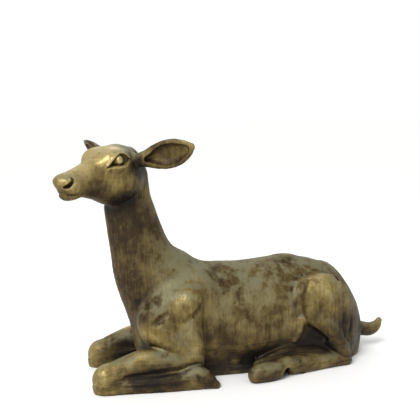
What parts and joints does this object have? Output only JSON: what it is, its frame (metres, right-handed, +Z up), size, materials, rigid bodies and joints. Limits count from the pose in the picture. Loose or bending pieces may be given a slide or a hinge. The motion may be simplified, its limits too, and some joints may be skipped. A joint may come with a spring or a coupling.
{
  "type": "deer garden statue",
  "caption": "Hollow cast bronze statue of a resting doe, legs folded and head raised, standing on its flat underside.",
  "frame": {"origin": "on the ground, in the flat underside, below the middle of the trunk", "axes": "the doe faces -X, its left side is -Y, +Z is up"},
  "size_m": [1.1022, 0.4093, 0.7141],
  "materials": {
    "bronze": "dark brown and grey-green patina, rubbed back to dull gold on the high forms"
  },
  "bodies": {
    "root": {"doe": "bronze"}
  },
  "joints": []
}
